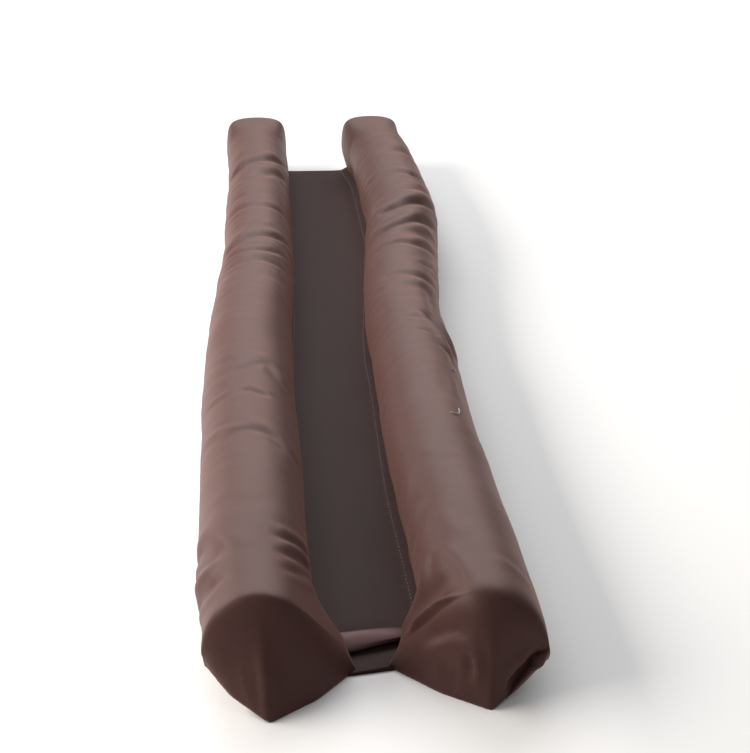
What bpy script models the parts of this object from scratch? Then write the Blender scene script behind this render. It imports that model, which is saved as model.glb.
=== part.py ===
"""Twin draught excluder: two stuffed cloth sleeves joined by a flat cloth web.

The sleeves lie side by side on the floor and the web joins their lower inner sides, so that a slot
is left between them. X runs across, from the left sleeve to the right one. Y runs along the length,
away from the near end. Z is up, and the floor is at 0. All sizes are in metres.
"""

import math
from collections import namedtuple

import bmesh
import bpy
from mathutils import Vector
from mathutils.bvhtree import BVHTree

# Driving dimensions
STUFFED_LENGTH = 0.892  # from the near end of the stuffing to its far end
CLOTH = 0.002  # thickness of the web, two layers of the cover cloth
HEM = 0.0015  # thickness of a sewn end, pressed flat
SEAM_GAP = 0.0006  # room between the web's edge and a sleeve
AROUND = 28  # points round a section, a whole number to each quarter turn
FINE_STEP = 0.008  # distance between sections where the cloth is folded
COARSE_STEP = 0.020  # distance between sections where it is smooth
FOLDED = 0.026  # how near to a fold the sections stand close together
FLARED = 0.060  # the same for the flared stretch behind the near end
SMOOTH_ANGLE = 50  # edges sharper than this many degrees are shaded as edges

# Section of a sleeve of radius 1: a round that sinks a little into the floor, with a taut stretch
# of cloth from the row of stitching, the toe, up to the round side
AXIS_UP = 0.952
TOE_STEP = 3
FOOT_STEP = TOE_STEP + 2  # where the flared stretch behind the near end leaves the floor
QUARTER = AROUND // 4
PRESSED = 48, 322  # degrees between which the cloth is off the floor
FOLDING = 80, 296  # degrees between which its folds have their full depth

NEAR_END = -STUFFED_LENGTH / 2
FAR_END = STUFFED_LENGTH / 2

Spine = namedtuple("Spine", "along across width height")
Fold = namedtuple("Fold", "along depth breadth around spread lean step")
Hem = namedtuple("Hem", "inward forward up")
End = namedtuple("End", "blend edge ridge corner setback tuck square hem")
Sleeve = namedtuple("Sleeve", "name inner spine folds near far")

# Where each sleeve's axis runs, and how wide and high the sleeve is there
LEFT_SPINE = [
    Spine(-0.446, -0.0513, 0.0492, 0.0500),
    Spine(-0.405, -0.0528, 0.0528, 0.0505),
    Spine(-0.350, -0.0537, 0.0530, 0.0510),
    Spine(-0.240, -0.0546, 0.0530, 0.0505),
    Spine(-0.150, -0.0562, 0.0530, 0.0500),
    Spine(-0.060, -0.0552, 0.0524, 0.0500),
    Spine(0.040, -0.0523, 0.0510, 0.0495),
    Spine(0.130, -0.0496, 0.0480, 0.0490),
    Spine(0.200, -0.0500, 0.0488, 0.0490),
    Spine(0.260, -0.0490, 0.0482, 0.0490),
    Spine(0.340, -0.0488, 0.0480, 0.0490),
    Spine(0.400, -0.0494, 0.0494, 0.0490),
    Spine(0.446, -0.0502, 0.0508, 0.0490),
]
RIGHT_SPINE = [
    Spine(-0.446, 0.0485, 0.0520, 0.0500),
    Spine(-0.400, 0.0478, 0.0520, 0.0505),
    Spine(-0.350, 0.0467, 0.0512, 0.0505),
    Spine(-0.240, 0.0431, 0.0508, 0.0505),
    Spine(-0.160, 0.0430, 0.0504, 0.0500),
    Spine(-0.090, 0.0432, 0.0502, 0.0500),
    Spine(-0.035, 0.0420, 0.0484, 0.0500),
    Spine(0.030, 0.0450, 0.0502, 0.0500),
    Spine(0.105, 0.0505, 0.0512, 0.0500),
    Spine(0.200, 0.0574, 0.0532, 0.0510),
    Spine(0.260, 0.0573, 0.0532, 0.0505),
    Spine(0.320, 0.0558, 0.0514, 0.0500),
    Spine(0.385, 0.0538, 0.0504, 0.0495),
    Spine(0.446, 0.0475, 0.0490, 0.0490),
]

# Folds: where one crosses the sleeve, how deep and broad its trough is, the middle of its reach and
# the half of its reach round the sleeve in degrees (0 is the bottom, 90 the inner side, 180 the
# top), how far it leans along the sleeve in a quarter turn, and the step between its two sides
LEFT_FOLDS = [
    Fold(0.304, 0.0021, 0.0095, 180, 115, -0.029, 0.0008),
    Fold(0.254, 0.0009, 0.0085, 170, 90, -0.028, 0.0000),
    Fold(0.171, 0.0012, 0.0085, 190, 100, 0.000, 0.0004),
    Fold(0.094, 0.0018, 0.0090, 185, 115, -0.020, 0.0006),
    Fold(0.060, 0.0011, 0.0080, 175, 110, -0.006, 0.0000),
    Fold(0.036, 0.0010, 0.0080, 175, 95, -0.003, 0.0000),
    Fold(-0.168, 0.0009, 0.0085, 172, 60, 0.004, 0.0004),
    Fold(-0.264, 0.0015, 0.0095, 178, 90, 0.012, 0.0010),
    Fold(-0.402, 0.0017, 0.0090, 133, 42, -0.010, 0.0006),
    Fold(-0.384, 0.0020, 0.0095, 240, 45, 0.060, 0.0008),
    Fold(-0.420, 0.0017, 0.0085, 240, 45, 0.010, 0.0006),
]
RIGHT_FOLDS = [
    Fold(0.322, 0.0011, 0.0095, 190, 95, 0.010, 0.0000),
    Fold(0.254, 0.0015, 0.0090, 185, 110, 0.008, 0.0006),
    Fold(0.204, 0.0010, 0.0085, 190, 100, 0.030, 0.0000),
    Fold(0.170, 0.0025, 0.0090, 195, 115, 0.040, 0.0010),
    Fold(0.124, 0.0024, 0.0090, 195, 115, 0.042, 0.0010),
    Fold(0.069, 0.0015, 0.0085, 190, 105, 0.012, 0.0005),
    Fold(0.001, 0.0010, 0.0080, 190, 85, 0.004, 0.0000),
    Fold(-0.092, 0.0024, 0.0085, 220, 50, -0.085, 0.0008),
    Fold(-0.442, -0.0030, 0.0120, 155, 34, 0.000, 0.0000),
]

# Ends: the length over which the sleeve takes up the form of its end, the roundness of the rim, the
# degree at which the taut ridge leaves the round and the corner that it runs to (inward, up), how
# far that corner stands back, how far the lower outer side is tucked in to its chord, how square
# the upper side is, and the sewn hem from the corner, over the tip, to the outer side
LEFT_NEAR = End(
    blend=0.050,
    edge=0.005,
    ridge=128,
    corner=(0.0390, 0.0085),
    setback=0.028,
    tuck=1.0,
    square=0.0,
    hem=[
        Hem(0.0435, -0.020, 0.0),
        Hem(0.0250, 0.006, 0.0),
        Hem(0.0040, 0.0245, 0.0),
        Hem(-0.0125, 0.0125, 0.007),
        Hem(-0.0245, 0.0005, 0.0165),
    ],
)
RIGHT_NEAR = End(
    blend=0.050,
    edge=0.007,
    ridge=152,
    corner=(0.0350, 0.0085),
    setback=0.040,
    tuck=1.0,
    square=0.0,
    hem=[
        Hem(0.0425, -0.022, 0.0),
        Hem(0.0210, 0.003, 0.0),
        Hem(0.0000, 0.0195, 0.0),
        Hem(-0.0135, 0.006, 0.003),
        Hem(-0.0285, -0.003, 0.013),
    ],
)
FAR = End(
    blend=0.050,
    edge=0.006,
    ridge=90,
    corner=None,
    setback=0.0,
    tuck=0.0,
    square=0.75,
    hem=[
        Hem(0.0150, 0.008, 0.0),
        Hem(0.0070, 0.018, 0.0),
        Hem(-0.0010, 0.0245, 0.0),
        Hem(-0.0090, 0.016, 0.0),
        Hem(-0.0170, 0.006, 0.0),
    ],
)
TUCK_FROM, TUCK_TO = 273.0, 347.0  # the degrees between which an end is tucked in
SQUARENESS = 5.0  # power of the squared outline
END_RINGS = 7  # rings from a rim out to its hem

LEFT = Sleeve("tube_left", 1, LEFT_SPINE, LEFT_FOLDS, LEFT_NEAR, FAR)
RIGHT = Sleeve("tube_right", -1, RIGHT_SPINE, RIGHT_FOLDS, RIGHT_NEAR, FAR)

# The web
WEB_NEAR = -0.413  # its near hem at the left sleeve
HEM_SKEW = 0.013  # how much further back the near hem lies at the right sleeve
WEB_FAR = FAR_END - 0.004
ARCH_HEIGHT = 0.0045  # how far the near hem stands off the floor in its middle
ARCH_LENGTH = 0.034  # how far back from the near hem the web is down on the floor again
ARCH_DROP = 0.3  # share of the arch's height that is lost at its two feet
ROLL = 0.0035  # thickness of the rolled near hem
ROLL_LENGTH = 0.009
HEM_STEP = 0.004  # distance between the web's rows at its near hem
HEM_ROWS_LENGTH = 0.046  # how far back those close rows reach
WEB_COLUMNS = 8

BROWN = (0.052, 0.025, 0.021, 1.0)
WEB_BROWN = (0.040, 0.020, 0.018, 1.0)
CLOTH_ROUGHNESS = 0.55


def smooth(low, high, value):
    """Rise from 0 at low to 1 at high with level ends."""
    t = min(max((value - low) / (high - low), 0.0), 1.0)
    return t * t * (3.0 - 2.0 * t)


def spine_at(spine, along):
    """Across, width and height of a sleeve at a place along it, on a curve through the table's rows."""
    i = 0
    while i < len(spine) - 2 and along > spine[i + 1].along:
        i += 1
    a, b = spine[i], spine[i + 1]
    before, after = spine[max(i - 1, 0)], spine[min(i + 2, len(spine) - 1)]
    span = b.along - a.along
    t = min(max((along - a.along) / span, 0.0), 1.0)
    found = []
    for k in range(1, len(Spine._fields)):
        slope_a = (b[k] - before[k]) / (b.along - before.along) * span
        slope_b = (after[k] - a[k]) / (after.along - a.along) * span
        found.append(
            a[k] * (1 + 2 * t) * (1 - t) ** 2
            + slope_a * t * (1 - t) ** 2
            + b[k] * t * t * (3 - 2 * t)
            - slope_b * t * t * (1 - t)
        )
    return found


def unit_section(step):
    """Inward and up of a point on a section of radius 1, counted from the bottom by the inner side."""
    turn = math.tau / AROUND
    angle = step * turn
    toe = TOE_STEP * turn
    lift = toe + math.acos(math.cos(toe) / AXIS_UP)
    if step <= TOE_STEP:
        return AXIS_UP * math.tan(angle), 0.0
    radius = 1.0 / math.cos(lift - angle) if angle < lift else 1.0
    return radius * math.sin(angle), max(AXIS_UP - radius * math.cos(angle), 0.0)


def fold_height(folds, along, degrees):
    """How far the folds raise the cloth at one point of a sleeve; a trough is below 0."""
    raised = 0.0
    for fold in folds:
        turn = (degrees - fold.around) / fold.spread
        if abs(turn) >= 1.0:
            continue
        u = (along - fold.along - fold.lean * (degrees - fold.around) / 90.0) / fold.breadth
        bell = math.exp(-0.5 * u * u)
        reach = math.cos(0.5 * math.pi * turn) ** 2
        raised += reach * (fold.step * u - fold.depth * (1.0 - u * u)) * bell
    return raised


def body_point(sleeve, along, step):
    """A point of a sleeve between its ends, folds included."""
    across, width, height = spine_at(sleeve.spine, along)
    inward, up = unit_section(step)
    degrees = 360.0 * step / AROUND
    free = smooth(PRESSED[0], FOLDING[0], degrees) * smooth(PRESSED[1], FOLDING[1], degrees)
    raised = fold_height(sleeve.folds, along, degrees) * free
    angle = math.radians(degrees)
    inward = inward * width / 2 + raised * math.sin(angle)
    up = up * height / (1 + AXIS_UP) - raised * math.cos(angle)
    return Vector((across + sleeve.inner * inward, along, max(up, 0.0)))


def squared_point(sleeve, end_along, step):
    """A point of the rim if its upper half were a square with rounded corners."""
    across, width, height = spine_at(sleeve.spine, end_along)
    angle = math.tau * step / AROUND
    inward, up = math.sin(angle), -math.cos(angle)
    grown = (abs(inward) ** SQUARENESS + abs(up) ** SQUARENESS) ** (-1.0 / SQUARENESS)
    middle = AXIS_UP * height / (1 + AXIS_UP)
    return Vector((
        across + sleeve.inner * grown * inward * width / 2,
        end_along,
        middle + grown * up * (height - middle),
    ))


def tucked_point(sleeve, end_along, step):
    """A point of the chord under the lower outer side of the rim."""
    start = body_point(sleeve, end_along, TUCK_FROM * AROUND / 360.0)
    stop = body_point(sleeve, end_along, TUCK_TO * AROUND / 360.0)
    return start.lerp(stop, (360.0 * step / AROUND - TUCK_FROM) / (TUCK_TO - TUCK_FROM))


def rim_point(sleeve, end, end_along, outward, step):
    """A point of the rim, where the cloth turns down over the end of the stuffing."""
    across = spine_at(sleeve.spine, end_along)[0]
    ridge_step = end.ridge * AROUND / 360.0
    plain = body_point(sleeve, end_along, step)
    if TUCK_FROM < 360.0 * step / AROUND < TUCK_TO:
        return plain.lerp(tucked_point(sleeve, end_along, step), end.tuck)
    if end.square and QUARTER < step < 3 * QUARTER:
        return plain.lerp(squared_point(sleeve, end_along, step), end.square)
    if end.corner is None or step >= ridge_step:
        return plain
    inward, up = end.corner
    corner = Vector((across + sleeve.inner * inward, end_along - outward * end.setback, up))
    if step >= QUARTER:
        leave = body_point(sleeve, end_along, math.ceil(ridge_step))
        return leave.lerp(corner, (ridge_step - step) / (ridge_step - QUARTER))
    under = Vector((corner.x, corner.y, 0.0))
    if step > FOOT_STEP:
        return under.lerp(corner, (step - FOOT_STEP) / (QUARTER - FOOT_STEP))
    middle = Vector((across, end_along, 0.0))
    return middle.lerp(under, step / FOOT_STEP)


def hem_point(sleeve, end, end_along, outward, step):
    """A point of the sewn hem: the upper layer from a quarter turn to three, the lower one beneath."""
    across = spine_at(sleeve.spine, end_along)[0]
    upper = QUARTER <= step <= 3 * QUARTER
    mirror = step if upper else (2 * QUARTER - step) % AROUND
    place = (mirror - QUARTER) / (2 * QUARTER) * (len(end.hem) - 1)
    i = min(int(place), len(end.hem) - 2)
    a, b, t = end.hem[i], end.hem[i + 1], place - i
    inward = a.inward + (b.inward - a.inward) * t
    forward = a.forward + (b.forward - a.forward) * t
    up = a.up + (b.up - a.up) * t
    if upper:
        up += HEM
    return Vector((across + sleeve.inner * inward, end_along + outward * forward, up))


def end_rings(sleeve, end, end_along, outward):
    """Rings from the rim out to the hem; outward is -1 at the near end and 1 at the far one."""
    rings = []
    for k in range(END_RINGS + 1):
        t = k / END_RINGS
        ring = []
        for step in range(AROUND):
            rim = rim_point(sleeve, end, end_along, outward, step)
            hem = hem_point(sleeve, end, end_along, outward, step)
            turned = rim + Vector((0.0, outward * end.edge, 0.0))
            ring.append(rim * (1 - t) ** 2 + turned * 2 * t * (1 - t) + hem * t * t)
        rings.append(ring)
    return rings


def stations(sleeve):
    """Where the sections stand along a sleeve, closer together at its folds."""
    start = NEAR_END + sleeve.near.blend
    stop = FAR_END - sleeve.far.blend
    places = [start]
    while places[-1] < stop:
        to_fold = min(abs(places[-1] - fold.along) for fold in sleeve.folds)
        fine = to_fold < FOLDED or places[-1] < start + FLARED
        places.append(places[-1] + (FINE_STEP if fine else COARSE_STEP))
    places[-1] = stop
    return places


def blend_rings(sleeve, end, end_along, outward):
    """Rings over which the plain sleeve takes up the form of its rim, from the sleeve outwards."""
    rings = []
    count = round(end.blend / FINE_STEP)
    start = end_along - outward * end.blend
    for k in range(1, count):
        t = k / count
        along = start + (end_along - start) * t
        ring = []
        for step in range(AROUND):
            plain = body_point(sleeve, along, step)
            rim = rim_point(sleeve, end, end_along, outward, step)
            point = plain.lerp(rim, smooth(0.0, 1.0, t))
            point.y = start + (rim.y - start) * t
            ring.append(point)
        rings.append(ring)
    return rings


def sleeve_rings(sleeve):
    """All rings of a sleeve, from its near hem to its far hem."""
    near = blend_rings(sleeve, sleeve.near, NEAR_END, -1) + end_rings(sleeve, sleeve.near, NEAR_END, -1)
    far = blend_rings(sleeve, sleeve.far, FAR_END, 1) + end_rings(sleeve, sleeve.far, FAR_END, 1)
    body = [[body_point(sleeve, along, step) for step in range(AROUND)] for along in stations(sleeve)]
    return near[::-1] + body + far


def close_hem(mesh, ring):
    """Sew the two layers of a hem together along its edge."""
    for step in range(QUARTER, 3 * QUARTER):
        upper = [ring[step], ring[step + 1]]
        lower = [ring[(2 * QUARTER - step - 1) % AROUND], ring[(2 * QUARTER - step) % AROUND]]
        corners = []
        for vertex in upper + lower:
            if vertex not in corners:
                corners.append(vertex)
        mesh.faces.new(corners)


def finish(name, mesh, material):
    """Turn a bmesh into an object with its faces pointing out and its round parts shaded smooth."""
    bmesh.ops.recalc_face_normals(mesh, faces=mesh.faces)
    data = bpy.data.meshes.new(name)
    mesh.to_mesh(data)
    mesh.free()
    data.shade_smooth()
    data.set_sharp_from_angle(angle=math.radians(SMOOTH_ANGLE))
    data.materials.append(material)
    item = bpy.data.objects.new(name, data)
    bpy.context.scene.collection.objects.link(item)
    return item


def make_sleeve(sleeve, material):
    """One stuffed sleeve, lofted through its rings and closed at both hems."""
    mesh = bmesh.new()
    rings = [[mesh.verts.new(point) for point in ring] for ring in sleeve_rings(sleeve)]
    for ring, following in zip(rings, rings[1:]):
        for step in range(AROUND):
            after = (step + 1) % AROUND
            mesh.faces.new((ring[step], ring[after], following[after], following[step]))
    close_hem(mesh, rings[0])
    close_hem(mesh, rings[-1])
    return finish(sleeve.name, mesh, material)


def reach(tree, along, side, heights):
    """How far the web may run from the middle of the slot towards one sleeve."""
    hits = []
    for height in heights:
        hit, _, _, _ = tree.ray_cast(Vector((0.0, along, height)), Vector((side, 0.0, 0.0)))
        if hit is not None:
            hits.append(abs(hit.x))
    return side * (min(hits) - SEAM_GAP)


def arch(along, share):
    """How far the web's underside stands off the floor, at a share of the way across it."""
    back = smooth(WEB_NEAR + ARCH_LENGTH, WEB_NEAR, along)
    return ARCH_HEIGHT * back * (1.0 - ARCH_DROP * (2.0 * share - 1.0) ** 2)


def web_rows():
    """Where the web's rows stand along it, closer together at the near hem."""
    places = [WEB_NEAR]
    while places[-1] < WEB_FAR - COARSE_STEP:
        close = places[-1] < WEB_NEAR + HEM_ROWS_LENGTH
        places.append(places[-1] + (HEM_STEP if close else COARSE_STEP))
    places.append(WEB_FAR)
    return places


def surface_tree(item):
    """An object's surface, ready for rays."""
    mesh = bmesh.new()
    mesh.from_mesh(item.data)
    tree = BVHTree.FromBMesh(mesh)
    mesh.free()
    return tree


def make_web(left, right, material):
    """The flat strip of cloth between the sleeves, with its rolled and arched near hem."""
    left_tree, right_tree = surface_tree(left), surface_tree(right)
    mesh = bmesh.new()
    tops, floors = [], []
    for along in web_rows():
        skew = HEM_SKEW * smooth(WEB_NEAR + 2 * ARCH_LENGTH, WEB_NEAR, along)
        thick = CLOTH + (ROLL - CLOTH) * smooth(WEB_NEAR + ROLL_LENGTH, WEB_NEAR, along)
        crest = arch(along, 0.5) + thick
        heights = [0.5 * SEAM_GAP, 0.5 * CLOTH, CLOTH, 0.5 * crest, crest + SEAM_GAP]
        low = reach(left_tree, along, -1.0, heights)
        high = reach(right_tree, along + skew, 1.0, heights)
        top, floor = [], []
        for column in range(WEB_COLUMNS + 1):
            share = column / WEB_COLUMNS
            under = Vector((low + (high - low) * share, along + skew * share, arch(along, share)))
            top.append(mesh.verts.new(under + Vector((0.0, 0.0, thick))))
            floor.append(mesh.verts.new(under))
        tops.append(top)
        floors.append(floor)
    for row in range(len(tops) - 1):
        for sheet in (tops, floors):
            for column in range(WEB_COLUMNS):
                near, far = sheet[row], sheet[row + 1]
                mesh.faces.new((near[column], near[column + 1], far[column + 1], far[column]))
        for edge in (0, WEB_COLUMNS):
            mesh.faces.new((tops[row][edge], tops[row + 1][edge], floors[row + 1][edge], floors[row][edge]))
    for top, floor in ((tops[0], floors[0]), (tops[-1], floors[-1])):
        for column in range(WEB_COLUMNS):
            mesh.faces.new((top[column], top[column + 1], floor[column + 1], floor[column]))
    return finish("web", mesh, material)


def cloth_material(name, colour):
    """The cover cloth's plain finish."""
    material = bpy.data.materials.new(name)
    material.use_nodes = True
    shader = material.node_tree.nodes["Principled BSDF"]
    shader.inputs["Base Color"].default_value = colour
    shader.inputs["Roughness"].default_value = CLOTH_ROUGHNESS
    shader.inputs["Metallic"].default_value = 0.0
    material.diffuse_color = colour
    return material


def main():
    """Clear the scene and build the three sewn pieces."""
    for item in list(bpy.data.objects):
        bpy.data.objects.remove(item, do_unlink=True)
    left = make_sleeve(LEFT, cloth_material("sleeve_cloth_left", BROWN))
    right = make_sleeve(RIGHT, cloth_material("sleeve_cloth_right", BROWN))
    make_web(left, right, cloth_material("web_cloth", WEB_BROWN))


main()
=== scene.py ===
"""Looks of the twin draught excluder: its two stuffed sleeves, the web, the sewing and the stage.

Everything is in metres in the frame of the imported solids: X across, Y along, Z up, floor at 0. Round a
sleeve, 0 degrees is its underside, 90 its inner side, 180 its top and 270 its outer side.
"""

import math
from collections import namedtuple

import bpy
import numpy as np
from bpy.props import FloatProperty, FloatVectorProperty, PointerProperty
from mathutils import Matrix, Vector, noise
from mathutils.bvhtree import BVHTree


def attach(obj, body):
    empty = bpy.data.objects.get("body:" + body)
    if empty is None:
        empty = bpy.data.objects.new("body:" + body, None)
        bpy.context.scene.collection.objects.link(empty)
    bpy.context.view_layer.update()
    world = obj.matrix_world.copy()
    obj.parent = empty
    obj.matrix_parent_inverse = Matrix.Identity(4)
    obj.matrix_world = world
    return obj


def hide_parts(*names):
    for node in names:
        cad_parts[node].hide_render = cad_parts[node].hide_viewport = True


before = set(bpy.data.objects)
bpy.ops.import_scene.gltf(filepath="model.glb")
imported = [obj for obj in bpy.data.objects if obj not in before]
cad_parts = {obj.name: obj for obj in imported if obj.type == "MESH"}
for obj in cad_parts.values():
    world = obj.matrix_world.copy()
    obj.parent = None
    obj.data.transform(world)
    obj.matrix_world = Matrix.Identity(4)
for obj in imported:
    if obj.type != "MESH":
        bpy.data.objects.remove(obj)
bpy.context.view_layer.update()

bl_info = {
    "name": "Twin Draught Excluder",
    "version": (1, 0, 0),
    "blender": (4, 5, 0),
    "location": "View3D > Sidebar > Excluder",
    "description": "Dresses the twin draught excluder in its sewn cloth",
    "category": "Object",
}

BODY = "root"

# Sizes shared with the solids
STUFFED_LENGTH = 0.892
NEAR_END = -STUFFED_LENGTH / 2
FAR_END = STUFFED_LENGTH / 2
HEM = 0.0015  # thickness of a sleeve's sewn hem
CLOTH = 0.002  # thickness of the web, two layers of the cover cloth
AXIS_UP = 0.952  # height of a section's middle over its flat foot, for a section of radius 1
TOE = 360.0 * 3 / 28  # where a section leaves the floor, in degrees round the sleeve
FOOT = 360.0 * 5 / 28  # degrees round an end's rim up to which it lies on the floor
TUCK_FROM, TUCK_TO = 273.0, 347.0  # degrees between which a near rim is drawn straight
DENTS_END = -0.385  # how far along the dents of the near ends reach
SQUARENESS = 5.0  # power of the rounded square that a far rim takes up
HEM_SOFTENING = (-4.0, 0.3), (0.0, 0.4), (4.0, 0.3)  # shift round the hem and its share in the mean

# Stretches round a section: the degrees where each starts, is full, is full no longer and ends
FOLDED = 48.0, 80.0, 296.0, 322.0  # creases and unevenness
SQUARED = 86.0, 96.0, 264.0, 274.0  # the squarer form of a far rim
TURNED = 92.0, 118.0, 240.0, 268.0  # evening and rounding of an end
DENTED = 84.0, 92.0, 284.0, 300.0  # dents

# Stretches of the way from an end's rim to its hem, in the same order
FACE_EVENED = 0.0, 0.12, 0.30, 0.70
CORNER_EVENED = 0.0, 0.12, 0.80, 1.00

# Fineness of the sleeves
AROUND = 140  # points round a section; the toe falls on one of them
END_RINGS = 26  # rings from an end's rim to its hem
BLEND_STEP = 0.0016  # distance between the rings that lead up to a rim
RIM_CROWDING = 1.6  # how strongly the rings of an end crowd towards its rim
ARC = math.radians(1.0) * 0.025  # length of one degree round a sleeve
FADE = 0.3  # share of a crease's length over which it runs out at each end
EVENED = 19.0  # degrees over which the form of an end is evened out between its rim and its hem
CORNER_REACH = 14.0  # degrees on each side of an end's ridge over which its rim is evened out
RIDGE_KEPT = -8.0, 16.0  # degrees past an end's ridge between which the rounding of its rim sets in

# Unevenness: turns of the noise along a sleeve for each metre, and how far the wrinkles slant
LUMP_RATE = 22.0
WRINKLE_RATE = 95.0
COUNTER_RATE = 60.0
SLANT = 0.010, 0.006

Spine = namedtuple("Spine", "along across width height")
Crease = namedtuple("Crease", "depth breadth step pinch path")
Dent = namedtuple("Dent", "depth breadth path")
Hem = namedtuple("Hem", "inward forward up")
Zone = namedtuple("Zone", "start step")
Grain = namedtuple("Grain", "along lumps wrinkles")
Sleeve = namedtuple("Sleeve", "name node inner spine creases near far dents zones grain seed")
Softbox = namedtuple("Softbox", "place target size colour")

# An end: the length over which it takes up its rim's form, how far the cloth runs straight on at the
# rim, the reach of the rim's rounding, the degrees of its ridge, the corner at its inner foot, inward
# and up, how far that corner is set back, how much of the tuck and of the square form it has, and the
# points of its hem from the inner side to the outer one
End = namedtuple("End", "blend edge rounding ridge corner setback tuck square hem")

LEFT_SPINE = [
    Spine(-0.446, -0.0513, 0.0492, 0.0500),
    Spine(-0.405, -0.0528, 0.0528, 0.0505),
    Spine(-0.350, -0.0537, 0.0530, 0.0510),
    Spine(-0.240, -0.0546, 0.0530, 0.0505),
    Spine(-0.150, -0.0562, 0.0530, 0.0500),
    Spine(-0.060, -0.0552, 0.0524, 0.0500),
    Spine(0.040, -0.0523, 0.0510, 0.0495),
    Spine(0.130, -0.0496, 0.0480, 0.0490),
    Spine(0.200, -0.0500, 0.0488, 0.0490),
    Spine(0.260, -0.0490, 0.0482, 0.0490),
    Spine(0.340, -0.0488, 0.0480, 0.0490),
    Spine(0.400, -0.0494, 0.0494, 0.0490),
    Spine(0.446, -0.0502, 0.0508, 0.0490),
]
RIGHT_SPINE = [
    Spine(-0.446, 0.0485, 0.0520, 0.0500),
    Spine(-0.400, 0.0478, 0.0520, 0.0505),
    Spine(-0.350, 0.0467, 0.0512, 0.0505),
    Spine(-0.240, 0.0431, 0.0508, 0.0505),
    Spine(-0.160, 0.0430, 0.0504, 0.0500),
    Spine(-0.090, 0.0432, 0.0502, 0.0500),
    Spine(-0.035, 0.0420, 0.0484, 0.0500),
    Spine(0.030, 0.0450, 0.0502, 0.0500),
    Spine(0.105, 0.0505, 0.0512, 0.0500),
    Spine(0.200, 0.0574, 0.0532, 0.0510),
    Spine(0.260, 0.0573, 0.0532, 0.0505),
    Spine(0.320, 0.0558, 0.0514, 0.0500),
    Spine(0.385, 0.0538, 0.0504, 0.0495),
    Spine(0.446, 0.0475, 0.0490, 0.0490),
]

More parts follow.
